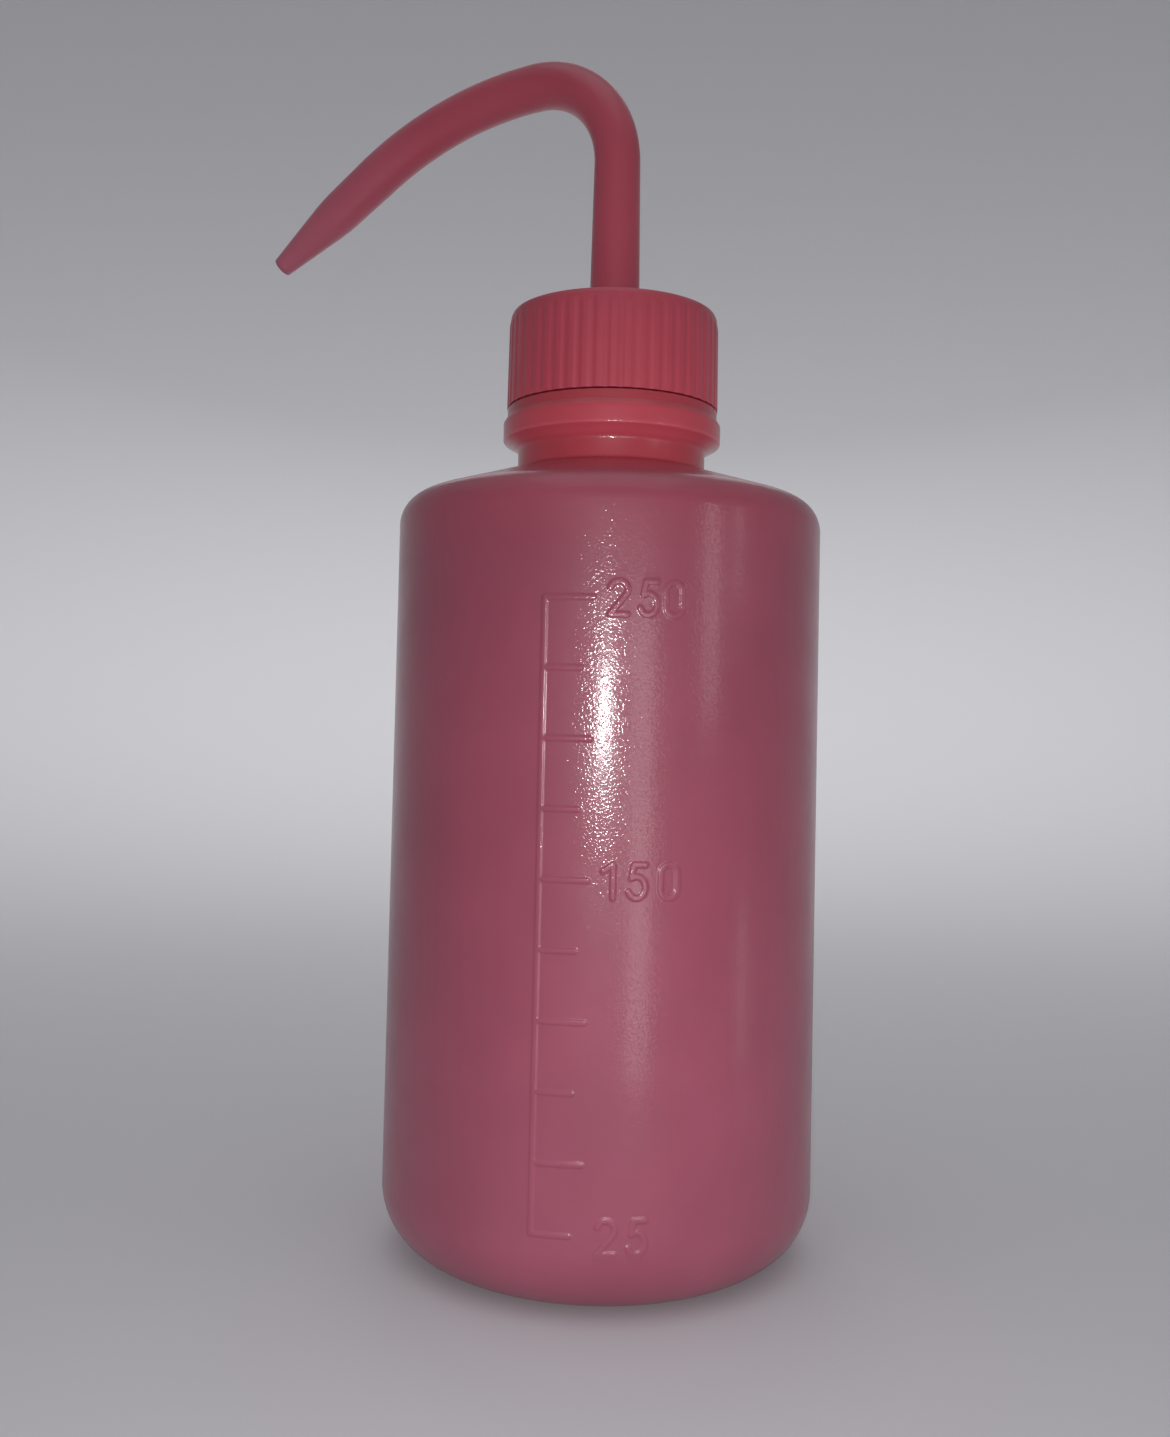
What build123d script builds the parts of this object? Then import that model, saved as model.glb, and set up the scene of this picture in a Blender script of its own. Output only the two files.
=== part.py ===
from build123d import *
from math import cos, degrees, radians, sin, tan
import os

# Wash bottle, 250 ml, moulded in low-density polyethylene. Millimetres, +Z up.
# The origin is on the bottle's axis, in the plane that it stands on. The volume scale faces -Y.

# ---- driving dimensions ------------------------------------------------------------------------
# bottle: body, shoulder and base
base_radius = 31.05            # outside radius where the base rounding ends
shoulder_radius = 30.49        # outside radius below the shoulder: the body has a slight draft
base_round = 9.4
shoulder_edge_z = 106.7        # where the straight side and the shoulder cone would meet
shoulder_slope = 17.1          # degrees above the horizontal
shoulder_round = 4.7
wall = 0.85
base_wall = 1.2
push_up = 1.6                  # height of the recess under the base
foot_radius = 19.5             # inner radius of the ring that the bottle stands on
push_up_slope = 2.0            # radial width of the slope from that ring up to the recess

# bottle: neck, collar with a narrower step above it, and threaded finish
neck_radius = 13.65
neck_bore_radius = 12.4
neck_foot_round = 0.5
collar_radius = 15.86
collar_z = (114.95, 116.2, 118.75)         # underside at the neck, lower edge, upper edge
collar_round = 0.35
step_radius = 15.3
step_z = (119.65, 120.9)                   # top of the slope up from the collar, top of the step
step_round = 0.15
finish_radius = 12.5
mouth_radius = 11.2
rim_z = 130.93
rim_round = 0.3

# screw thread, right-handed
pitch = 4.2
thread_depth = 1.05
thread_root = 2.3              # axial width at the root
thread_crest = 1.1             # axial width at the crest
neck_thread_z = (123.0, 129.3)             # centre height of the ridge at its two ends
cap_thread_rise = 4.6                      # height that the cap's ridge climbs from end to end
cap_thread_lead = 135.0                    # degrees from the neck ridge's start to the cap ridge's

# cap
cap_bottom_z = 121.1
cap_top_z = 134.87
cap_radius_bottom = 15.42      # over the ribs
cap_radius_top = 15.24
cap_edge_round = 0.9
cap_plate = 1.5
skirt_bore_radius = 13.85
rib_count = 48
rib_height = 0.17
rib_radius = 1.1
cap_hole_radius = 3.95

# seal plug
plug_disc_radius = 13.2
plug_disc = 1.25
plug_skirt_radius = mouth_radius - 0.06
plug_skirt_wall = 1.1
plug_depth = 4.0
plug_hub_radius = 5.3

# delivery spout
spout_heading = 152.0          # degrees from +X, about +Z
riser_radius = 3.7             # at the cap; the riser narrows to the tube's radius at the bend
tube_radius = 3.38
tube_bore_radius = 2.1
flange_radius = 6.6
flange = 1.1
spigot_end_z = 121.0
socket_depth = 8.0
socket_end_gap = 0.2           # between the top of the dip tube and the end of its socket
bend_start_z = 157.9
top_bend_radius = 13.9
top_bend_angle = 90.0
long_bend_radius = 58.0
long_bend_angle = 31.0
arm_length = 10.0
arm_end_radius = 3.24
tip_length = 13.2
tip_radius = 1.62
tip_bore_radius = 0.8

# dip tube
dip_radius = 2.3
dip_bore_radius = 1.55
dip_bottom_z = 7.0

# clearances
flat_gap = 0.03
spout_running_fit = 0.05
press_gap = 0.01

# raised volume scale
first_mark_z = 11.6
mark_step = 8.82
mark_count = 10
scale_line_x = -8.15
long_mark_end_x = -1.6
short_mark_end_x = -3.0
long_marks = (1, 3, 5, 7, 9)   # counted from the lowest, which is 0
line_width = 0.65
numeral_height = 4.85
numeral_width = 2.9
numeral_stroke = 0.68
numbers = (                    # numerals, the mark that they stand beside, and the middle of each
    ("25", 0, (1.25, 5.05)),
    ("150", 5, (1.25, 4.2, 8.4)),
    ("250", 9, (1.25, 5.0, 8.4)),
)
emboss_height = 0.15
emboss_root = 0.3

# ---- shared levels -----------------------------------------------------------------------------
plate_under_z = cap_top_z - cap_plate
flange_top_z = plate_under_z - flat_gap
flange_under_z = flange_top_z - flange
disc_top_z = flange_under_z - flat_gap
disc_under_z = disc_top_z - plug_disc
neck_foot_z = shoulder_edge_z + (shoulder_radius - neck_radius) * tan(radians(shoulder_slope))


def turned(points):
    """Solid of revolution about Z from a closed outline of (radius, z) points."""
    return revolve(Plane.XZ * make_face(Polyline(*points, close=True)), Axis.Z)


def corners(face, spots):
    """Vertices of a face that lie at the given (x, y) spots."""
    return [face.vertices().sort_by_distance(Vector(x, y, 0))[0] for x, y in spots]


def ridge(root_radius, outward, start_z, rise):
    """Helical thread ridge that grows outward (+1) or inward (-1) from a root radius."""
    buried = 0.25
    half_root = thread_root / 2 + buried * (thread_root - thread_crest) / 2 / thread_depth
    half_crest = thread_crest / 2
    inner = root_radius - outward * buried
    outer = root_radius + outward * thread_depth
    outline = [(inner, -half_root), (outer, -half_crest), (outer, half_crest), (inner, half_root)]
    section = Plane.XZ * make_face(Polyline(*outline, close=True))
    path = Helix(pitch=pitch, height=rise, radius=root_radius)
    return Pos(0, 0, start_z) * sweep(section, path=path, is_frenet=True)


# ---- bottle ------------------------------------------------------------------------------------
def bottle_shell():
    """Blow-moulded wall: base, side, shoulder, neck, collar and finish."""
    slope = tan(radians(shoulder_slope))
    inner_shoulder_z = shoulder_edge_z - wall / cos(radians(shoulder_slope)) + wall * slope
    inner_neck_z = inner_shoulder_z + (shoulder_radius - wall - neck_bore_radius) * slope
    recess_radius = foot_radius - push_up_slope
    outside = [
        (foot_radius, 0), (base_radius, 0), (shoulder_radius, shoulder_edge_z),
        (neck_radius, neck_foot_z), (neck_radius, collar_z[0]), (collar_radius, collar_z[1]),
        (collar_radius, collar_z[2]), (step_radius, step_z[0]), (step_radius, step_z[1]),
        (finish_radius, step_z[1]), (finish_radius, rim_z),
    ]
    inside = [
        (mouth_radius, rim_z), (mouth_radius, collar_z[1]), (neck_bore_radius, collar_z[0]),
        (neck_bore_radius, inner_neck_z), (shoulder_radius - wall, inner_shoulder_z),
        (base_radius - wall, base_wall), (foot_radius, base_wall),
        (recess_radius, push_up + base_wall), (0, push_up + base_wall), (0, push_up),
        (recess_radius, push_up),
    ]
    face = make_face(Polyline(*outside, *inside, close=True))
    face = fillet(corners(face, [(base_radius, 0)]), base_round)
    face = fillet(corners(face, [(base_radius - wall, base_wall)]), base_round - wall)
    face = fillet(corners(face, [(shoulder_radius, shoulder_edge_z)]), shoulder_round)
    face = fillet(corners(face, [(shoulder_radius - wall, inner_shoulder_z)]), shoulder_round - wall)
    face = fillet(corners(face, [(neck_radius, neck_foot_z)]), neck_foot_round)
    collar_edges = [(collar_radius, collar_z[1]), (collar_radius, collar_z[2])]
    face = fillet(corners(face, collar_edges), collar_round)
    face = fillet(corners(face, [(step_radius, step_z[1])]), step_round)
    face = fillet(corners(face, [(mouth_radius, rim_z), (finish_radius, rim_z)]), rim_round)
    return revolve(Plane.XZ * face, Axis.Z)


def numeral(digit):
    """One raised numeral, drawn as strokes about its own centre."""
    half_w = (numeral_width - numeral_stroke) / 2
    half_h = (numeral_height - numeral_stroke) / 2
    bowl = half_h - half_w
    if digit == "0":
        strokes = [
            Line((-half_w, -bowl), (-half_w, bowl)),
            Line((half_w, -bowl), (half_w, bowl)),
            CenterArc((0, bowl), half_w, 0, 180),
            CenterArc((0, -bowl), half_w, 180, 180),
        ]
    elif digit == "1":
        strokes = [
            Line((0, -half_h - numeral_stroke / 2), (0, half_h + numeral_stroke / 2)),
            Line((0, half_h), (-1.25, half_h - 0.85)),
        ]
    elif digit == "2":
        shoulder = (half_w * cos(radians(-35)), bowl + half_w * sin(radians(-35)))
        strokes = [
            CenterArc((0, bowl), half_w, -35, 200),
            Line(shoulder, (-half_w, -half_h + 0.1)),
            Line((-half_w - numeral_stroke / 2, -half_h), (half_w + numeral_stroke / 2, -half_h)),
        ]
    else:
        knee = (-0.65, 0.35)
        strokes = [
            Line((-0.65, half_h), (half_w + numeral_stroke / 2, half_h)),
            Line((-0.35, half_h), knee),
            ThreePointArc(knee, (half_w, -0.8), (-half_w, -half_h + 0.75)),
        ]
    return Sketch() + [trace(stroke, numeral_stroke) for stroke in strokes]


def raised_scale():
    """Volume scale on the side of the body: one upright line, ten marks and three numbers."""
    top_mark_z = first_mark_z + mark_step * (mark_count - 1)
    middle_z = (first_mark_z + top_mark_z) / 2
    upright = Rectangle(line_width, top_mark_z - first_mark_z + line_width)
    flat = Sketch() + Pos(scale_line_x, middle_z) * upright
    for i in range(mark_count):
        end_x = long_mark_end_x if i in long_marks else short_mark_end_x
        middle = ((scale_line_x + end_x) / 2, first_mark_z + i * mark_step)
        flat += Pos(*middle) * Rectangle(end_x - scale_line_x, line_width)
    for digits, mark, middles in numbers:
        z = first_mark_z + mark * mark_step
        flat += [Pos(x, z) * numeral(digit) for digit, x in zip(digits, middles)]
    reach = 5.0                # how far the extruded figures start inside the side, and end outside
    prism = extrude(Plane.XZ.offset(shoulder_radius - reach) * flat, 2 * reach)
    low, high = base_round, shoulder_edge_z - shoulder_round
    draft = (base_radius - shoulder_radius) / shoulder_edge_z
    skin = [(base_radius - draft * z, z) for z in (low, high)]
    (r0, z0), (r1, z1) = skin
    band = turned([
        (r0 - emboss_root, z0), (r0 + emboss_height, z0),
        (r1 + emboss_height, z1), (r1 - emboss_root, z1),
    ])
    return prism & band


def make_bottle_body():
    """Bottle with its neck thread and raised scale."""
    rise = neck_thread_z[1] - neck_thread_z[0]
    thread = ridge(finish_radius, 1, neck_thread_z[0], rise)
    body = bottle_shell() + thread
    return body + raised_scale()


# ---- cap ---------------------------------------------------------------------------------------
def cap_outline(inset):
    """Outside envelope of the cap, drawn in by an inset, with its rounded top edge."""
    low = cap_radius_bottom - inset
    high = cap_radius_top - inset
    face = make_face(Polyline(
        (0, cap_bottom_z), (low, cap_bottom_z), (high, cap_top_z), (0, cap_top_z), close=True))
    face = fillet(corners(face, [(high, cap_top_z)]), cap_edge_round)
    return revolve(Plane.XZ * face, Axis.Z)


def make_screw_cap():
    """Ribbed cap with its inside thread and the hole that the spout comes through."""
    rib_from_axis = cap_radius_bottom - rib_radius
    lean = (cap_radius_bottom - cap_radius_top) / (cap_top_z - cap_bottom_z)
    rib = Pos(rib_from_axis, 0, cap_bottom_z) * Rot(0, -degrees(lean), 0) * Cylinder(
        rib_radius, cap_top_z - cap_bottom_z, align=(Align.CENTER, Align.CENTER, Align.MIN))
    envelope = cap_outline(0)
    rib = rib & envelope
    ribs = [Rot(0, 0, i * 360 / rib_count) * rib for i in range(rib_count)]
    cap = cap_outline(rib_height) + ribs
    bore = turned([
        (0, cap_bottom_z - 1), (skirt_bore_radius, cap_bottom_z - 1),
        (skirt_bore_radius, plate_under_z), (0, plate_under_z)])
    hole = Pos(0, 0, plate_under_z) * Cylinder(cap_hole_radius, 3 * cap_plate)
    cap = cap - bore - hole
    start_z = neck_thread_z[0] - pitch / 2 + pitch * cap_thread_lead / 360
    thread = Rot(0, 0, cap_thread_lead) * ridge(skirt_bore_radius, -1, start_z, cap_thread_rise)
    return cap + thread


# ---- seal, spout and dip tube ------------------------------------------------------------------
def make_seal_plug():
    """Sealing disc with a skirt that enters the mouth and a hub around the spout."""
    hole = riser_radius + spout_running_fit
    skirt_in = plug_skirt_radius - plug_skirt_wall
    return turned([
        (hole, disc_under_z - plug_depth), (plug_hub_radius, disc_under_z - plug_depth),
        (plug_hub_radius, disc_under_z), (skirt_in, disc_under_z),
        (skirt_in, disc_under_z - plug_depth), (plug_skirt_radius, disc_under_z - plug_depth),
        (plug_skirt_radius, disc_under_z), (plug_disc_radius, disc_under_z),
        (plug_disc_radius, disc_top_z), (hole, disc_top_z)])


def bend(section_radius, start, radius, begin, angle):
    """Torus piece: a round section that starts at (u, z) heading begin degrees past upright."""
    heading = radians(begin)
    centre = (start[0] + radius * cos(heading), start[1] - radius * sin(heading))
    direction = Vector(sin(heading), 0, cos(heading))
    section = Plane(origin=(start[0], 0, start[1]), z_dir=direction) * Circle(section_radius)
    turn_axis = Axis((centre[0], 0, centre[1]), (0, 1, 0))
    end_angle = radians(begin + angle)
    end = (centre[0] - radius * cos(end_angle), centre[1] + radius * sin(end_angle))
    return revolve(section, turn_axis, angle), end


def straight(radius_a, radius_b, start, heading, length):
    """Cone frustum from (u, z), heading in degrees past upright."""
    frame = Plane(origin=(start[0], 0, start[1]), z_dir=(sin(radians(heading)), 0, cos(radians(heading))))
    piece = turned([(0, 0), (radius_a, 0), (radius_b, length), (0, length)])
    end = (start[0] + length * sin(radians(heading)), start[1] + length * cos(radians(heading)))
    return frame * piece, end


def tube_run(riser_from, riser_r, bend_r, arm_r, tip_r):
    """Filled tube along the spout's route, from the riser to the tip, in the u-z plane."""
    heading = top_bend_angle + long_bend_angle
    riser, spot = straight(riser_r, bend_r, (0, riser_from), 0, bend_start_z - riser_from)
    top, spot = bend(bend_r, spot, top_bend_radius, 0, top_bend_angle)
    long, spot = bend(bend_r, spot, long_bend_radius, top_bend_angle, long_bend_angle)
    arm, spot = straight(bend_r, arm_r, spot, heading, arm_length)
    tip, spot = straight(arm_r, tip_r, spot, heading, tip_length)
    return riser + top + long + arm + tip


def make_delivery_spout():
    """Bent spout: spigot with a socket, clamping flange, riser, two bends, arm and drawn tip."""
    outside = tube_run(flange_under_z, riser_radius, tube_radius, arm_end_radius, tip_radius)
    bore_from = spigot_end_z + socket_depth
    inside = tube_run(bore_from, tube_bore_radius, tube_bore_radius, tube_bore_radius, tip_bore_radius)
    spigot = turned([
        (0, spigot_end_z), (riser_radius, spigot_end_z), (riser_radius, flange_under_z),
        (flange_radius, flange_under_z), (flange_radius, flange_top_z), (0, flange_top_z)])
    socket_radius = dip_radius + press_gap
    socket = turned([
        (0, spigot_end_z - 1), (socket_radius, spigot_end_z - 1),
        (socket_radius, bore_from), (0, bore_from)])
    spout = outside + spigot - inside - socket
    return Rot(0, 0, spout_heading) * spout


def make_dip_tube():
    """Straight suction tube from the spout's socket to just above the base."""
    top = spigot_end_z + socket_depth - socket_end_gap
    return turned([
        (dip_bore_radius, dip_bottom_z), (dip_radius, dip_bottom_z),
        (dip_radius, top), (dip_bore_radius, top)])


nodes = {
    "bottle_body": make_bottle_body,
    "screw_cap": make_screw_cap,
    "seal_plug": make_seal_plug,
    "delivery_spout": make_delivery_spout,
    "dip_tube": make_dip_tube,
}

os.makedirs("parts", exist_ok=True)
for name, make in nodes.items():
    shape = make()
    shape.label = name
    export_step(shape, f"parts/{name}.step")
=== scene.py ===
import math

import bmesh
import bpy
import numpy as np
from mathutils import Matrix, Vector


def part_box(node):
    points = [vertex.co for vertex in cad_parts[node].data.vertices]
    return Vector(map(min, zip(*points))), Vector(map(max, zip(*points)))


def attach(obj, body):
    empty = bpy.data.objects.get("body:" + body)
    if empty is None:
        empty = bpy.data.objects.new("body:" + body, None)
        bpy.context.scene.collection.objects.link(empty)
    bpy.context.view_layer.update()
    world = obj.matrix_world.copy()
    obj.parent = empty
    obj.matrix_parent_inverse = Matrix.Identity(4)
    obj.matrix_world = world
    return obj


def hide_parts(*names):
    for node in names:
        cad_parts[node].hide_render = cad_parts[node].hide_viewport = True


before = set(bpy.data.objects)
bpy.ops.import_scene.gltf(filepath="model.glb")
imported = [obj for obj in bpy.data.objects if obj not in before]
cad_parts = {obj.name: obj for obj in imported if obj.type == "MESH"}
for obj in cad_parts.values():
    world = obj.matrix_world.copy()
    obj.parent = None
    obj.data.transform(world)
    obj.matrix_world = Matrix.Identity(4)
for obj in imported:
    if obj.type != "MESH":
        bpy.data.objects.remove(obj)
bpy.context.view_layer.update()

# Lengths here are in millimetres, and MM turns them into the frame's metres.
MM = 0.001

# ---- sizes, the same as the CAD part's ---------------------------------------------------------
BASE_RADIUS = 31.05            # body radius at the foot, before the draft
SHOULDER_RADIUS = 30.49
BASE_ROUND = 9.4
SHOULDER_EDGE_Z = 106.7
SHOULDER_SLOPE = math.radians(17.1)
SHOULDER_ROUND = 4.7
WALL = 0.85
BASE_WALL = 1.2
PUSH_UP = 1.6                  # depth of the recess under the base
FOOT_RADIUS = 19.5             # inner edge of the ring that the bottle stands on
PUSH_UP_SLOPE = 2.0
NECK_RADIUS = 13.65
NECK_BORE_RADIUS = 12.4
NECK_FOOT_ROUND = 0.5
COLLAR_RADIUS = 15.86
COLLAR_Z = (114.95, 116.2, 118.75)         # foot of its slope, and its lower and upper edge
COLLAR_ROUND = 0.35
STEP_RADIUS = 15.3             # narrower step above the collar
STEP_Z = (119.65, 120.9)
FINISH_RADIUS = 12.5           # root of the neck's thread
MOUTH_RADIUS = 11.2
RIM_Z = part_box("bottle_body")[1].z / MM

PITCH = 4.2
THREAD_DEPTH = 1.05
THREAD_ROOT = 2.3              # width of the ridge at its foot, and at its crest
THREAD_CREST = 1.1
NECK_THREAD_Z = (123.0, 129.3)
CAP_THREAD_RISE = 4.6
CAP_THREAD_LEAD = math.radians(135.0)

CAP_BOTTOM_Z = 121.1
CAP_TOP_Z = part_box("screw_cap")[1].z / MM
CAP_RADIUS_BOTTOM = 15.42
CAP_RADIUS_TOP = 15.24
CAP_EDGE_ROUND = 0.9
CAP_PLATE = 1.5
SKIRT_BORE_RADIUS = 13.85
RIB_COUNT = 48
RIB_HEIGHT = 0.17
CAP_HOLE_RADIUS = 3.95

SPOUT_HEADING = math.radians(152.0)
RISER_RADIUS = 3.7
TUBE_RADIUS = 3.38
TUBE_BORE_RADIUS = 2.1
FLANGE_RADIUS = 6.6
FLANGE_Z = (132.24, 133.34)
FLANGE_EDGE = 0.2
SPIGOT_END_Z = 121.0
SPIGOT_EDGE = 0.25
SOCKET_TOP_Z = 129.0
SOCKET_RADIUS = 2.31
BEND_START_Z = 157.9
TOP_BEND = (13.9, math.radians(90.0))      # radius and turn
LONG_BEND = (58.0, math.radians(31.0))
ARM_LENGTH = 10.0
ARM_END_RADIUS = 3.24
TIP_LENGTH = 13.2
TIP_RADIUS = 1.62
TIP_BORE_RADIUS = 0.8
TIP_EDGE = 0.12
WAIST_DEPTH = 0.05             # slight dip where the tip is drawn out, and half its length
WAIST_REACH = 1.6

FIRST_MARK_Z = 11.6
MARK_STEP = 8.82
MARK_COUNT = 10
SCALE_LINE_X = -8.15
LONG_MARK_END_X = -1.6
SHORT_MARK_END_X = -3.0
LONG_MARKS = (1, 3, 5, 7, 9)
LINE_WIDTH = 0.65
NUMERAL_HEIGHT = 4.85
NUMERAL_WIDTH = 2.9
NUMERAL_STROKE = 0.68
NUMBERS = (                    # digits, the mark that they stand at, and the middle of each digit
    ("25", 0, (1.25, 5.05)),
    ("150", 5, (1.25, 4.2, 8.4)),
    ("250", 9, (1.25, 5.0, 8.4)),
)
NUMBERS_END_X = 10.2
EMBOSS_HEIGHT = 0.15
EMBOSS_SOFT = 0.11             # half the width of the slope at the edge of a raised line

# ---- fineness of the meshes --------------------------------------------------------------------
CORNER_STEP = 0.2              # longest step round a corner, as a share of its radius
BOTTLE_ARC_STEP = 0.6
BOTTLE_STEP = 1.5
INSIDE_STEP = 4.0
NECK_THREAD_STEP = 0.25
SCALE_STEP = 0.125
BOTTLE_COLUMNS = 112           # round the back and sides
SCALE_COLUMNS = 156            # across the scale and numerals
CAP_ARC_STEP = 0.4
CAP_STEP = 0.3
COLUMNS_PER_RIB = 12
SPOUT_STEP = 0.8
SPOUT_COLUMNS = 56
SAME = 0.01                    # radii closer than this are the same wall
RING_GAP = 0.01                # least difference between two rings at one height

# ---- camera ------------------------------------------------------------------------------------
CAMERA_PLACE = (-0.6, -200.2, 74.9)
CAMERA_PITCH = -0.0056
CAMERA_YAW = -0.0121
CAMERA_ROLL = 0.0214
CAMERA_LENS = 34.17            # millimetres, for a 36 mm long side


# ---- mesh helpers ------------------------------------------------------------------------------
def smoothstep(x):
    """0 below 0, 1 above 1, and smooth between."""
    x = np.clip(x, 0.0, 1.0)
    return x * x * (3 - 2 * x)


def rounded_outline(corners, step):
    """Points along an outline of (radius, z, corner radius) corners, with arcs round them."""
    points = []
    last = len(corners) - 1
    for i, (x, z, rounding) in enumerate(corners):
        here = np.array([x, z])
        if rounding == 0 or i in (0, last):
            points.append(here)
            continue
        back = np.array(corners[i - 1][:2]) - here
        ahead = np.array(corners[i + 1][:2]) - here
        back = back / np.linalg.norm(back)
        ahead = ahead / np.linalg.norm(ahead)
        half = math.acos(np.clip(back @ ahead, -1, 1)) / 2
        reach = rounding / math.tan(half)
        middle = here + (back + ahead) / np.linalg.norm(back + ahead) * rounding / math.sin(half)
        first = here + back * reach - middle
        final = here + ahead * reach - middle
        turn = math.pi - 2 * half
        side = math.copysign(1, first[0] * final[1] - first[1] * final[0])
        count = max(4, int(math.ceil(rounding * turn / min(step, rounding * CORNER_STEP))))
        for k in range(count + 1):
            a = side * turn * k / count
            c, s = math.cos(a), math.sin(a)
            arm = np.array([c * first[0] - s * first[1], s * first[0] + c * first[1]])
            points.append(middle + arm)
    return np.array(points)


def filled_in(points, step):
    """The same outline with its long straight stretches divided."""
    out = [points[0]]
    for a, b in zip(points[:-1], points[1:]):
        count = max(1, int(math.ceil(np.linalg.norm(b - a) / step)))
        out += [a + (b - a) * k / count for k in range(1, count + 1)]
    return np.array(out)


def ring_mesh(name, rows, loop=False, poles=()):
    """Object with a smooth mesh through rows of points in millimetres, each row a closed ring.

    rows has the shape (rows, columns, 3). With loop the last row joins the first. poles are the
    rows, 0 or -1, that have shrunk to a point on the axis; each becomes one vertex."""
    count, columns = rows.shape[:2]
    index = np.arange(count * columns).reshape(count, columns)
    lower = index if loop else index[:-1]
    upper = np.roll(index, -1, 0) if loop else index[1:]
    quads = np.stack([lower, np.roll(lower, -1, 1), np.roll(upper, -1, 1), upper], -1)
    mesh = bpy.data.meshes.new(name)
    mesh.from_pydata((rows.reshape(-1, 3) * MM).tolist(), [], quads.reshape(-1, 4).tolist())
    mesh.update()
    if poles:
        merge_poles(mesh, [index[row] for row in poles])
    mesh.validate()
    mesh.shade_smooth()
    made = bpy.data.objects.new(name, mesh)
    bpy.context.scene.collection.objects.link(made)
    return made


def skin(name, rows, body, slot, node, **shape):
    """Visible piece that rides on a body and stands for a CAD node; slot is not used."""
    piece = ring_mesh(name, rows, **shape)
    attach(piece, body)
    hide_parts(node)
    return piece


def merge_poles(mesh, poles):
    """Joins each ring of coincident points into one vertex."""
    work = bmesh.new()
    work.from_mesh(mesh)
    work.verts.ensure_lookup_table()
    rings = [[work.verts[int(i)] for i in pole] for pole in poles]
    for ring in rings:
        bmesh.ops.pointmerge(work, verts=ring, merge_co=ring[0].co)
    work.to_mesh(mesh)
    work.free()


def ring_angles(count, dense_from=None, dense_to=None, dense_count=0):
    """Angles round the axis from -Y towards +X, and closer together in one stretch if asked."""
    if dense_count == 0:
        return np.linspace(0, 2 * math.pi, count, endpoint=False)
    dense = np.linspace(dense_from, dense_to, dense_count, endpoint=False)
    coarse = np.linspace(dense_to, dense_from + 2 * math.pi, count, endpoint=False)
    return np.concatenate([dense, coarse])


def revolved(outline, angles, grow=None):
    """Rows of a surface of revolution. grow(radius, z, angle) gives what is added to the radius."""
    radius, z = outline[:, :1], outline[:, 1:]
    angle = angles[None, :]
    r = radius + (grow(radius, z, angle) if grow else 0) + 0 * angle
    return np.stack([r * np.sin(angle), -r * np.cos(angle), z + 0 * angle], -1)


def thread_height(z, angle, start_z, rise, lead=0.0):
    """Height of a right-handed thread ridge above its root, with ends that fade out."""
    end_rise = 0.6
    turn = (angle - lead) / (2 * math.pi)
    height = 0.0
    for lap in range(-3, 4):
        along = (turn + lap) * PITCH
        offset = np.abs(z - start_z - along)
        profile = (THREAD_ROOT / 2 - offset) / ((THREAD_ROOT - THREAD_CREST) / 2)
        fade = smoothstep(along / end_rise) * smoothstep((rise - along) / end_rise)
        height = np.maximum(height, smoothstep(profile) * fade)
    return height * THREAD_DEPTH


# ---- raised volume scale -----------------------------------------------------------------------
def arc_points(centre, radii, start, sweep, count=16):
    """Points on an arc of an upright ellipse; angles in degrees."""
    (x, z), (wide, high) = centre, radii
    angles = np.radians(start + sweep * np.linspace(0, 1, count))
    return [(x + wide * math.cos(a), z + high * math.sin(a)) for a in angles]


def numeral_strokes(digit):
    """Centre lines of a 0, 1, 2 or 5 about its own centre, each a list of points."""
    half_w = (NUMERAL_WIDTH - NUMERAL_STROKE) / 2
    half_h = (NUMERAL_HEIGHT - NUMERAL_STROKE) / 2
    bowl = half_h - half_w
    round_end = (half_w, half_w)
    if digit == "0":
        top = arc_points((0, bowl), round_end, 0, 180)
        low = arc_points((0, -bowl), round_end, 180, 180)
        return [top + low + top[:1]]
    if digit == "1":
        return [[(0, -half_h), (0, half_h), (-1.25, half_h - 0.85)]]
    if digit == "2":
        hook = arc_points((0, bowl), round_end, 165, -200)
        return [hook + [(-half_w, -half_h), (half_w, -half_h)]]
    belly_height = 1.36
    belly = arc_points((0, belly_height - half_h), (half_w, belly_height), 125, -282)
    return [[(half_w, half_h), (-0.35, half_h)] + belly]


def scale_strokes():
    """Centre lines of the whole scale, with their widths, on the unrolled face of the body."""
    top_z = FIRST_MARK_Z + MARK_STEP * (MARK_COUNT - 1)
    strokes = [([(SCALE_LINE_X, FIRST_MARK_Z), (SCALE_LINE_X, top_z)], LINE_WIDTH)]
    for i in range(MARK_COUNT):
        z = FIRST_MARK_Z + i * MARK_STEP
        end = LONG_MARK_END_X if i in LONG_MARKS else SHORT_MARK_END_X
        strokes.append(([(SCALE_LINE_X, z), (end - LINE_WIDTH / 2, z)], LINE_WIDTH))
    for digits, mark, middles in NUMBERS:
        z = FIRST_MARK_Z + mark * MARK_STEP
        for x, digit in zip(middles, digits):
            for line in numeral_strokes(digit):
                strokes.append(([(x + px, z + pz) for px, pz in line], NUMERAL_STROKE))
    return strokes


def emboss(x, z):
    """Height of the raised scale at points of the unrolled face."""
    height = np.zeros(np.broadcast(x, z).shape)
    for line, width in scale_strokes():
        near = np.full(height.shape, 1e9)
        for (ax, az), (bx, bz) in zip(line[:-1], line[1:]):
            dx, dz = bx - ax, bz - az
            t = np.clip(((x - ax) * dx + (z - az) * dz) / (dx * dx + dz * dz), 0, 1)
            near = np.minimum(near, np.hypot(x - ax - t * dx, z - az - t * dz))
        edge = (width / 2 + EMBOSS_SOFT - near) / (2 * EMBOSS_SOFT)
        height = np.maximum(height, smoothstep(edge))
    return height * EMBOSS_HEIGHT


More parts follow.
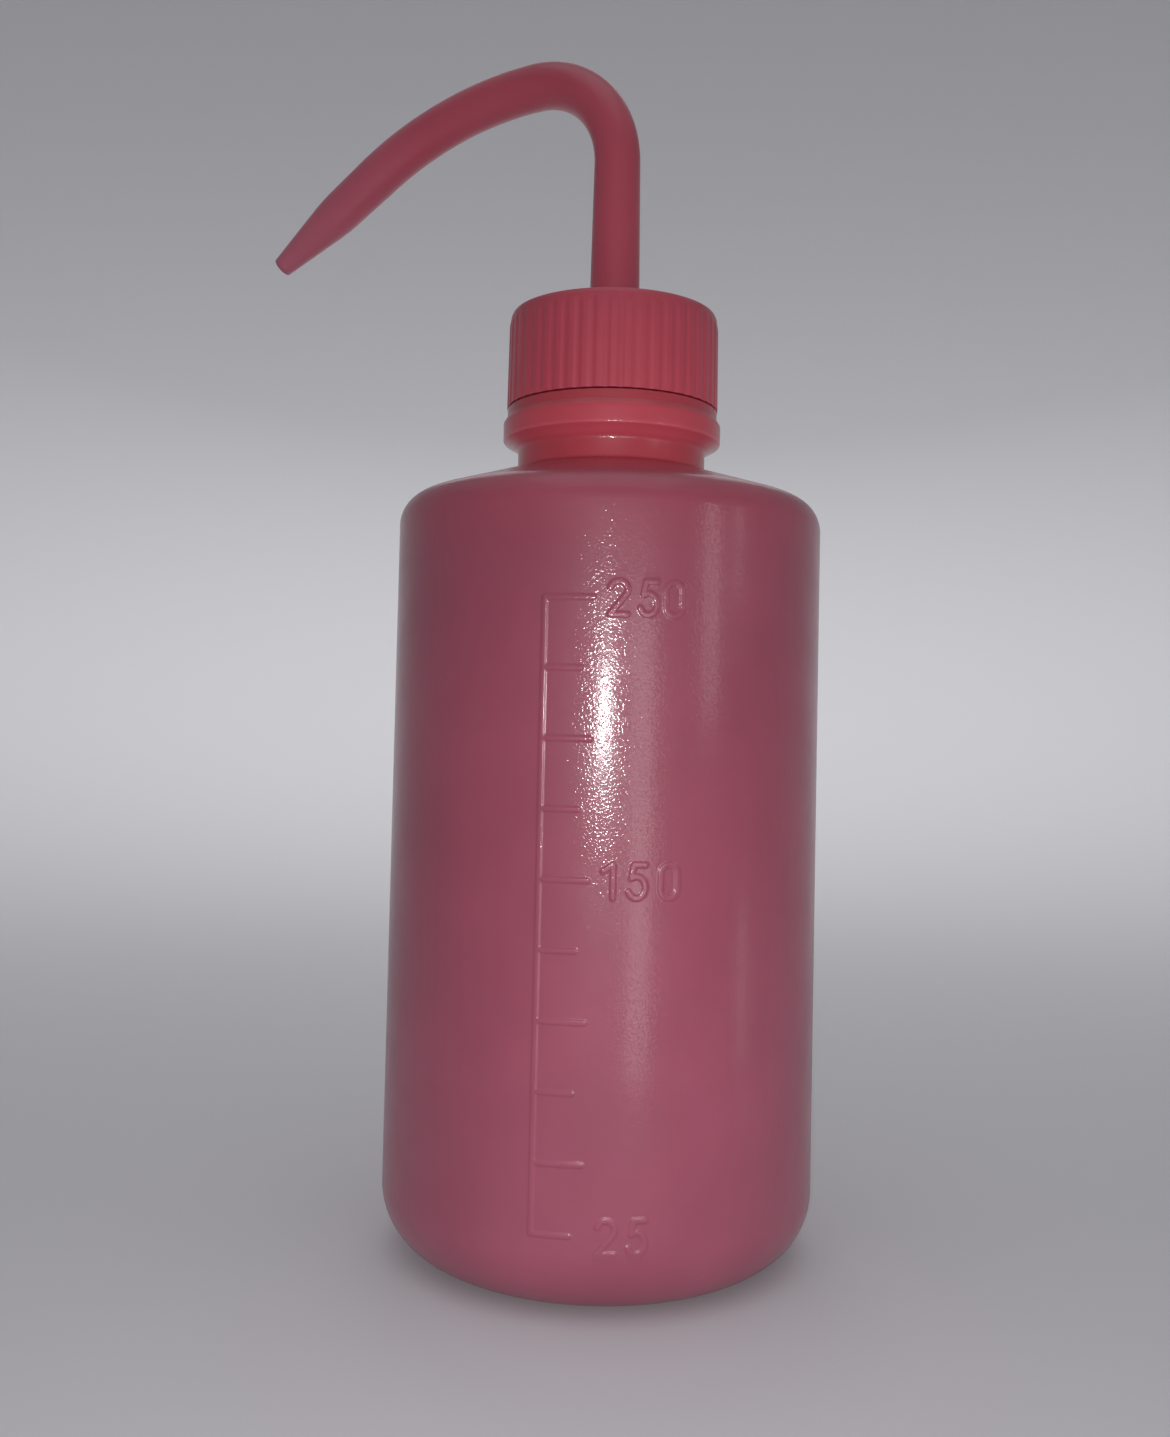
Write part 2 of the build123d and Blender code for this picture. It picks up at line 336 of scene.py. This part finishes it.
def scale_rows():
    """Heights for the rows of the side wall: close together where the scale has detail."""
    margin = 0.2
    numbered = [mark for _, mark, _ in NUMBERS]
    low, high = BASE_ROUND + 0.3, SHOULDER_EDGE_Z - SHOULDER_ROUND - 0.4
    bands = []
    for i in range(MARK_COUNT):
        half = NUMERAL_HEIGHT / 2 + margin if i in numbered else LINE_WIDTH / 2 + margin
        middle = FIRST_MARK_Z + i * MARK_STEP
        bands.append((max(low, middle - half), middle + half))
    rows, z = [], low
    while z < high:
        rows.append(z)
        inside = any(start - SCALE_STEP <= z < end for start, end in bands)
        ahead = min([start for start, _ in bands if start > z] + [high])
        z += SCALE_STEP if inside else min(BOTTLE_STEP, max(SCALE_STEP, ahead - z))
    return rows + [high]


# ---- bottle ------------------------------------------------------------------------------------
def body_radius(z):
    """Outer radius of the drafted side wall at a height."""
    return BASE_RADIUS - (BASE_RADIUS - SHOULDER_RADIUS) / SHOULDER_EDGE_Z * z


def bottle_outline():
    """Outer then inner wall, from the underside of the base to the inside of the base."""
    slope = math.tan(SHOULDER_SLOPE)
    neck_foot_z = SHOULDER_EDGE_Z + (SHOULDER_RADIUS - NECK_RADIUS) * slope
    inner_shoulder_z = SHOULDER_EDGE_Z - WALL / math.cos(SHOULDER_SLOPE) + WALL * slope
    inner_neck_z = inner_shoulder_z + (SHOULDER_RADIUS - WALL - NECK_BORE_RADIUS) * slope
    recess_radius = FOOT_RADIUS - PUSH_UP_SLOPE
    base = [
        (0, PUSH_UP, 0),
        (recess_radius, PUSH_UP, 0.6),
        (FOOT_RADIUS, 0, 0.5),
        (BASE_RADIUS, 0, BASE_ROUND),
    ]
    outside = [
        (SHOULDER_RADIUS, SHOULDER_EDGE_Z, SHOULDER_ROUND),
        (NECK_RADIUS, neck_foot_z, NECK_FOOT_ROUND),
        (NECK_RADIUS, COLLAR_Z[0], 0.9),
        (COLLAR_RADIUS, COLLAR_Z[1], COLLAR_ROUND),
        (COLLAR_RADIUS, COLLAR_Z[2], COLLAR_ROUND),
        (STEP_RADIUS, STEP_Z[0], 0.3),
        (STEP_RADIUS, STEP_Z[1], 0.15),
        (FINISH_RADIUS, STEP_Z[1], 0.3),
        (FINISH_RADIUS, RIM_Z, 0.3),
    ]
    inside = [
        (MOUTH_RADIUS, RIM_Z, 0.3),
        (MOUTH_RADIUS, COLLAR_Z[1], 0.5),
        (NECK_BORE_RADIUS, COLLAR_Z[0], 0.5),
        (NECK_BORE_RADIUS, inner_neck_z, 0.9),
        (SHOULDER_RADIUS - WALL, inner_shoulder_z, SHOULDER_ROUND - WALL),
        (BASE_RADIUS - WALL, BASE_WALL, BASE_ROUND - WALL),
        (FOOT_RADIUS, BASE_WALL, 0.5),
        (recess_radius, PUSH_UP + BASE_WALL, 0.6),
        (0, PUSH_UP + BASE_WALL, 0),
    ]
    return rounded_outline(base + outside + inside, BOTTLE_ARC_STEP)


def long_stretch(outline, length):
    """Number of the first point of an outline that a stretch higher than length follows."""
    rises = np.abs(np.diff(outline[:, 1]))
    return int(np.argmax(rises > length))


def divided(outline):
    """Puts the scale's rows into the outer side wall, and divides the other long stretches."""
    side = long_stretch(outline, 50)
    rows = [np.array([body_radius(z), z]) for z in scale_rows()]
    before = filled_in(outline[:side + 1], BOTTLE_STEP)
    after = outline[side + 1:]
    finish = long_stretch(after, 5)
    lower = filled_in(after[:finish + 1], BOTTLE_STEP)
    threaded = filled_in(after[finish:finish + 2], NECK_THREAD_STEP)
    inside = filled_in(after[finish + 1:], INSIDE_STEP)
    return np.concatenate([before, rows, lower, threaded[1:-1], inside])


def make_bottle():
    """Blown bottle with its raised scale, collar and thread."""
    outline = divided(bottle_outline())
    face_radius = (BASE_RADIUS + SHOULDER_RADIUS) / 2
    scale_from = (SCALE_LINE_X - 0.6) / face_radius
    scale_to = NUMBERS_END_X / face_radius
    angles = ring_angles(BOTTLE_COLUMNS, scale_from, scale_to, SCALE_COLUMNS)
    outer = (np.arange(len(outline)) < np.argmax(outline[:, 1]))[:, None]

    def grow(radius, z, angle):
        x = np.where(angle > math.pi, angle - 2 * math.pi, angle) * face_radius
        on_side = outer & (radius > SHOULDER_RADIUS - 0.3) & (z > BASE_ROUND) & (z < 100)
        on_finish = outer & (np.abs(radius - FINISH_RADIUS) < SAME)
        rise = NECK_THREAD_Z[1] - NECK_THREAD_Z[0]
        ridge = thread_height(z, angle, NECK_THREAD_Z[0], rise)
        return np.where(on_side, emboss(x, z), 0) + np.where(on_finish, ridge, 0)

    rows = revolved(outline, angles, grow)
    return skin(
        "bottle_body_skin", rows, "bottle", "bottle_plastic", "bottle_body", poles=(0, -1))


# ---- cap ---------------------------------------------------------------------------------------
def make_cap():
    """Ribbed cap: soft ribs that fade into the top edge, inner thread and spout hole."""
    under = CAP_TOP_Z - CAP_PLATE
    corners = [
        (CAP_HOLE_RADIUS, under, 0),
        (CAP_HOLE_RADIUS, CAP_TOP_Z, 0.35),
        (CAP_RADIUS_TOP, CAP_TOP_Z, CAP_EDGE_ROUND),
        (CAP_RADIUS_BOTTOM, CAP_BOTTOM_Z, 0.06),
        (SKIRT_BORE_RADIUS, CAP_BOTTOM_Z, 0.25),
        (SKIRT_BORE_RADIUS, under, 0.3),
        (CAP_HOLE_RADIUS, under, 0),
    ]
    outline = filled_in(rounded_outline(corners, CAP_ARC_STEP), CAP_STEP)[:-1]
    angles = ring_angles(RIB_COUNT * COLUMNS_PER_RIB)
    thread_start = NECK_THREAD_Z[0] - PITCH / 2 + PITCH * CAP_THREAD_LEAD / (2 * math.pi)

    def grow(radius, z, angle):
        up = (z - CAP_BOTTOM_Z) / (CAP_TOP_Z - CAP_BOTTOM_Z)
        lean = CAP_RADIUS_BOTTOM + (CAP_RADIUS_TOP - CAP_RADIUS_BOTTOM) * up
        outside = smoothstep((radius - lean + 0.5) / 0.4)
        wave = 0.5 + 0.5 * np.cos(RIB_COUNT * angle)
        rib = smoothstep((wave + 0.05) / 0.8)
        fade = smoothstep((CAP_TOP_Z - 0.8 - z) / 1.4)
        valley = RIB_HEIGHT * outside * (1 - rib * fade)
        on_bore = np.abs(radius - SKIRT_BORE_RADIUS) < SAME
        ridge = thread_height(z, angle, thread_start, CAP_THREAD_RISE, CAP_THREAD_LEAD)
        return -valley - np.where(on_bore, ridge, 0)

    rows = revolved(outline, angles, grow)
    return skin("screw_cap_skin", rows, "cap", "cap_plastic", "screw_cap", loop=True)


# ---- spout -------------------------------------------------------------------------------------
def spout_route(step):
    """Centre line of the spout above its flange, in its own plane, as (u, z, heading) points.

    u is the distance from the bottle's axis, and heading the lean from upright in radians."""
    route = [(0.0, z, 0.0) for z in np.arange(FLANGE_Z[1], BEND_START_Z, step)]
    u, z, heading = 0.0, BEND_START_Z, 0.0
    for radius, turn in (TOP_BEND, LONG_BEND):
        cu, cz = u + radius * math.cos(heading), z - radius * math.sin(heading)
        count = int(radius * turn / step)
        for k in range(count):
            h = heading + turn * k / count
            route.append((cu - radius * math.cos(h), cz + radius * math.sin(h), h))
        heading += turn
        u, z = cu - radius * math.cos(heading), cz + radius * math.sin(heading)
    straight = ARM_LENGTH + TIP_LENGTH
    for k in np.linspace(0, straight, int(straight / step) + 1):
        route.append((u + k * math.sin(heading), z + k * math.cos(heading), heading))
    return np.array(route)


def tube_radii(route):
    """Outer and inner radii of the tube at the points of its route."""
    gaps = np.hypot(np.diff(route[:, 0]), np.diff(route[:, 1]))
    along = np.concatenate([[0], np.cumsum(gaps)])
    length = along[-1]
    riser_end = BEND_START_Z - FLANGE_Z[1]
    tip_start = length - TIP_LENGTH
    stops = [0, riser_end, length - ARM_LENGTH - TIP_LENGTH, tip_start, length]
    widths = [RISER_RADIUS, TUBE_RADIUS, TUBE_RADIUS, ARM_END_RADIUS, TIP_RADIUS]
    waist = smoothstep(1 - np.abs(along - tip_start) / WAIST_REACH) * WAIST_DEPTH
    outer = np.interp(along, stops, widths) - waist
    inner = np.interp(along, stops, [TUBE_BORE_RADIUS] * 4 + [TIP_BORE_RADIUS])
    return outer, inner


def spout_rings():
    """Rings (u, z, heading, radius) up the outside, round the tip and back down the bore."""
    route = spout_route(SPOUT_STEP)
    outer, inner = tube_radii(route)
    foot = [
        (SPIGOT_END_Z, SOCKET_RADIUS),
        (SPIGOT_END_Z, RISER_RADIUS - SPIGOT_EDGE),
        (SPIGOT_END_Z + SPIGOT_EDGE, RISER_RADIUS),
        (FLANGE_Z[0], RISER_RADIUS),
        (FLANGE_Z[0], FLANGE_RADIUS - FLANGE_EDGE),
        (FLANGE_Z[0] + FLANGE_EDGE, FLANGE_RADIUS),
        (FLANGE_Z[1] - FLANGE_EDGE, FLANGE_RADIUS),
        (FLANGE_Z[1], FLANGE_RADIUS - FLANGE_EDGE),
        (FLANGE_Z[1], RISER_RADIUS + RING_GAP),
    ]
    rings = [(0.0, z, 0.0, r) for z, r in foot]
    rings += [(*point, r) for point, r in zip(route, outer)]
    rings += [(*route[-1], r) for r in (TIP_RADIUS - TIP_EDGE, TIP_BORE_RADIUS + TIP_EDGE)]
    rings += [(*point, r) for point, r in zip(route[::-1], inner[::-1])]
    rings += [(0.0, SOCKET_TOP_Z, 0.0, r) for r in (TUBE_BORE_RADIUS, SOCKET_RADIUS)]
    return rings


def make_spout():
    """Bent tube with a flange and spigot below, drawn to a fine tip, open right through."""
    angles = ring_angles(SPOUT_COLUMNS)
    c, s = math.cos(SPOUT_HEADING), math.sin(SPOUT_HEADING)
    rows = []
    for u, z, heading, r in spout_rings():
        across = r * np.sin(angles)
        side = r * np.cos(angles)
        out = u + across * math.cos(heading)
        up = z - across * math.sin(heading)
        rows.append(np.stack([out * c - side * s, out * s + side * c, up], -1))
    return skin(
        "delivery_spout_skin", np.array(rows), "spout", "spout_plastic", "delivery_spout",
        loop=True)


# ---- materials ---------------------------------------------------------------------------------
IOR = 1.51
VEIL = 0.5                     # roughness of the plastic itself
VEIL_SPREAD = 0.06
CLOUD_TINT = (0.62, 0.5, 0.55, 1)
CLOUD_MOST = 0.3
CLOUD_SIZE, VEIL_SIZE, RIPPLE_SIZE, PEBBLE_SIZE = 16.0, 7.0, 11.0, 0.32
RIPPLE_DEPTH, RIPPLE_STRENGTH = 0.25, 0.08
PEBBLE_DEPTH = 0.014
SCATTER_DEPTH = (2.0, 0.9, 1.0)            # millimetres, for red, green and blue
MIDDLE_OF_NOISE = (0.3, 0.7)               # the range that most of a noise texture keeps to


def polyethylene(name, axis, colours, gloss, grain, glow):
    """Moulded low-density polyethylene: cloudy, with soft scattering, under a finely pebbled skin.

    colours holds (place along the axis in millimetres, colour) stops: the colour follows the
    thickness of the wall, and on the bottle it also carries painted light and shade. gloss is
    the roughness of the skin, grain the strength of the
    pebbling, and glow the share of light scattered below the surface."""
    material = bpy.data.materials.new(name)
    material.use_nodes = True
    nodes, links = material.node_tree.nodes, material.node_tree.links
    shader = nodes["Principled BSDF"]
    place = nodes.new("ShaderNodeTexCoord")

    def noise(scale_mm, detail):
        node = nodes.new("ShaderNodeTexNoise")
        node.inputs["Scale"].default_value = 1 / (scale_mm * MM)
        node.inputs["Detail"].default_value = detail
        links.new(place.outputs["Object"], node.inputs["Vector"])
        return node.outputs["Fac"]

    def ranged(value, source, target):
        node = nodes.new("ShaderNodeMapRange")
        node.inputs["From Min"].default_value, node.inputs["From Max"].default_value = source
        node.inputs["To Min"].default_value, node.inputs["To Max"].default_value = target
        links.new(value, node.inputs["Value"])
        return node.outputs["Result"]

    def ramped(value, stops):
        node = nodes.new("ShaderNodeValToRGB")
        ramp = node.color_ramp
        for position, _ in stops[1:-1]:
            ramp.elements.new(position)
        for element, (position, colour) in zip(ramp.elements, stops):
            element.position = position
            element.color = (*colour, 1)
        links.new(value, node.inputs["Fac"])
        return node.outputs["Color"]

    def bump(height, depth_mm, strength, under=None):
        node = nodes.new("ShaderNodeBump")
        node.inputs["Strength"].default_value = strength
        node.inputs["Distance"].default_value = depth_mm * MM
        links.new(height, node.inputs["Height"])
        if under:
            links.new(under, node.inputs["Normal"])
        return node.outputs["Normal"]

    axes = nodes.new("ShaderNodeSeparateXYZ")
    links.new(place.outputs["Object"], axes.inputs["Vector"])
    low, high = colours[0][0], colours[-1][0]
    along = ranged(axes.outputs[axis], (low * MM, high * MM), (0, 1))
    colour = ramped(along, [((at - low) / (high - low), shade) for at, shade in colours])

    # The Mix node repeats each socket's name for every data type: its colour sockets go by number.
    cloudy = nodes.new("ShaderNodeMix")
    cloudy.data_type = "RGBA"
    cloudy.blend_type = "MULTIPLY"
    factor, first, second = cloudy.inputs[0], cloudy.inputs[6], cloudy.inputs[7]
    links.new(ranged(noise(CLOUD_SIZE, 3.0), MIDDLE_OF_NOISE, (0, CLOUD_MOST)), factor)
    links.new(colour, first)
    second.default_value = CLOUD_TINT
    links.new(cloudy.outputs[2], shader.inputs["Base Color"])

    veil = ranged(noise(VEIL_SIZE, 4.0), MIDDLE_OF_NOISE, (VEIL - VEIL_SPREAD, VEIL + VEIL_SPREAD))
    links.new(veil, shader.inputs["Roughness"])
    ripple = bump(noise(RIPPLE_SIZE, 2.0), RIPPLE_DEPTH, RIPPLE_STRENGTH)
    links.new(ripple, shader.inputs["Normal"])
    pebbles = ranged(noise(PEBBLE_SIZE, 1.0), (0.45, 0.75), (0, 1))
    links.new(bump(pebbles, PEBBLE_DEPTH, grain, ripple), shader.inputs["Coat Normal"])

    for socket, value in {
        "IOR": IOR,
        "Specular IOR Level": 0.3,
        "Coat Weight": 0.6,
        "Coat Roughness": gloss,
        "Coat IOR": IOR,
        "Subsurface Weight": glow,
        "Subsurface Radius": SCATTER_DEPTH,
        "Subsurface Scale": MM,
    }.items():
        shader.inputs[socket].default_value = value
    return material


def dress(piece, material):
    """Gives the whole piece one material."""
    piece.data.materials.clear()
    piece.data.materials.append(material)


# ---- stage, lights and camera ------------------------------------------------------------------
def make_stage():
    """Pale floor that curves up into a round backdrop well away from the bottle."""
    radius, height, curve = 1900, 1700, 1550
    corners = [(0, 0, 0), (radius, 0, curve), (radius, height, 0)]
    outline = filled_in(rounded_outline(corners, 60), 300)
    floor = ring_mesh("floor", revolved(outline, ring_angles(96)), poles=(0,))
    paint = bpy.data.materials.new("floor_paint")
    paint.use_nodes = True
    shader = paint.node_tree.nodes["Principled BSDF"]
    shader.inputs["Base Color"].default_value = (0.68, 0.675, 0.695, 1)
    shader.inputs["Roughness"].default_value = 0.9
    shader.inputs["Specular IOR Level"].default_value = 0.1
    dress(floor, paint)


def area_light(name, place, target, size, power, spread=180):
    """Soft rectangular light aimed at a point; places in millimetres, not seen by the camera."""
    data = bpy.data.lights.new(name, "AREA")
    data.shape = "RECTANGLE"
    data.size, data.size_y = size[0] * MM, size[1] * MM
    data.energy = power
    data.spread = math.radians(spread)
    light = bpy.data.objects.new(name, data)
    light.location = Vector(place) * MM
    light.rotation_mode = "QUATERNION"
    light.rotation_quaternion = (Vector(target) - Vector(place)).to_track_quat("-Z", "Y")
    light.visible_camera = False
    bpy.context.scene.collection.objects.link(light)
    return light


def light_card(name, azimuths, heights, power):
    """Upright soft card that faces the axis, between two azimuths and two heights.

    Azimuths are in degrees from -Y towards +X."""
    distance = 140
    middle = math.radians(sum(azimuths) / 2)
    height = (heights[0] + heights[1]) / 2
    place = (distance * math.sin(middle), -distance * math.cos(middle), height)
    width = math.radians(azimuths[1] - azimuths[0]) * distance
    return area_light(name, place, (0, 0, height), (width, heights[1] - heights[0]), power)


def make_lights(pieces):
    """Small light by the lens, broad light all round, and soft cards that light only the pieces."""
    area_light("front", (-3, -212, 80), (0, 0, 78), (6, 6), 0.1, spread=130)
    area_light("back_wall", (0, 500, 700), (0, 1300, 140), (1100, 500), 3.6)
    area_light("top", (0, -300, 1400), (0, 0, 75), (1200, 1200), 2.0)
    area_light("behind", (0, 1000, 900), (0, 0, 90), (900, 600), 1.1)
    cards = [
        light_card("card_long", (11.5, 21.5), (4, 104), 0.025),
        light_card("card_high", (44.5, 52.5), (78, 132), 0.009),
        light_card("card_narrow", (61, 66), (104, 132), 0.002),
        light_card("card_low", (67, 72), (6, 40), 0.002),
    ]
    lit = bpy.data.collections.new("lit_by_cards")
    for piece in pieces:
        lit.objects.link(piece)
    for card in cards:
        card.light_linking.receiver_collection = lit
    world = bpy.data.worlds.new("room")
    world.use_nodes = True
    sky = world.node_tree.nodes["Background"]
    sky.inputs["Color"].default_value = (0.93, 0.94, 1.0, 1)
    sky.inputs["Strength"].default_value = 0.35
    bpy.context.scene.world = world


def make_camera():
    """Camera about level with the middle of the bottle, and close in front of it."""
    cp, sp = math.cos(CAMERA_PITCH), math.sin(CAMERA_PITCH)
    cy, sy = math.cos(CAMERA_YAW), math.sin(CAMERA_YAW)
    cr, sr = math.cos(CAMERA_ROLL), math.sin(CAMERA_ROLL)
    pitch = Matrix(((1, 0, 0), (0, cp, -sp), (0, sp, cp)))
    yaw = Matrix(((cy, -sy, 0), (sy, cy, 0), (0, 0, 1)))
    roll = Matrix(((cr, 0, sr), (0, 1, 0), (-sr, 0, cr)))
    right, forward, up = roll @ pitch @ yaw
    turn = Matrix((right, up, -forward)).transposed().to_4x4()
    data = bpy.data.cameras.new("camera")
    data.lens = CAMERA_LENS
    data.clip_start, data.clip_end = 0.01, 20
    camera = bpy.data.objects.new("camera", data)
    camera.matrix_world = Matrix.Translation(Vector(CAMERA_PLACE) * MM) @ turn
    bpy.context.scene.collection.objects.link(camera)
    bpy.context.scene.camera = camera


# ---- scene -------------------------------------------------------------------------------------
make_camera()
make_stage()

bottle_red = polyethylene("bottle_red", "Z", [
    (0, (0.385, 0.092, 0.148)),            # base to shoulder: thin wall; painted light makes it paler towards the base, greyer and darker upwards
    (20, (0.36, 0.08, 0.131)),
    (60, (0.288, 0.057, 0.095)),
    (95, (0.26, 0.05, 0.085)),
    (107, (0.29, 0.048, 0.08)),
    (111.5, (0.38, 0.038, 0.058)),         # neck: thick wall, stronger red
    (112.5, (0.43, 0.039, 0.059)),
    (114.8, (0.43, 0.041, 0.062)),
    (115.1, (0.64, 0.1, 0.14)),            # collar: painted light, its underside coloured paler as if lit from below
    (116.1, (0.58, 0.085, 0.12)),
    (116.5, (0.48, 0.054, 0.08)),
    (118.4, (0.48, 0.052, 0.076)),
    (119.3, (0.37, 0.034, 0.05)),          # step, and the thread above it
    (121, (0.37, 0.034, 0.05)),
], gloss=0.13, grain=1.0, glow=0.3)
cap_red = polyethylene("cap_red", "Z", [
    (121, (0.44, 0.046, 0.074)),
    (131, (0.4, 0.044, 0.072)),
    (135, (0.35, 0.042, 0.067)),
], gloss=0.3, grain=0.6, glow=0.3)
spout_red = polyethylene("spout_red", "X", [
    (-57, (0.48, 0.12, 0.175)),            # tip, paler where it is drawn thin
    (-48, (0.455, 0.094, 0.142)),
    (-30, (0.43, 0.06, 0.097)),
    (-10, (0.4, 0.052, 0.085)),
    (4, (0.375, 0.05, 0.08)),              # riser
], gloss=0.3, grain=0.4, glow=0.3)
natural = polyethylene("natural_white", "Z", [
    (20, (0.72, 0.71, 0.68)),
    (120, (0.76, 0.75, 0.72)),
], gloss=0.3, grain=0.3, glow=0.4)

finishes = {
    make_bottle(): bottle_red,
    make_cap(): cap_red,
    make_spout(): spout_red,
    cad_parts["seal_plug"]: natural,
    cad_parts["dip_tube"]: natural,
}
for piece, finish in finishes.items():
    dress(piece, finish)
make_lights(finishes)

bpy.context.scene.view_settings.view_transform = "Standard"
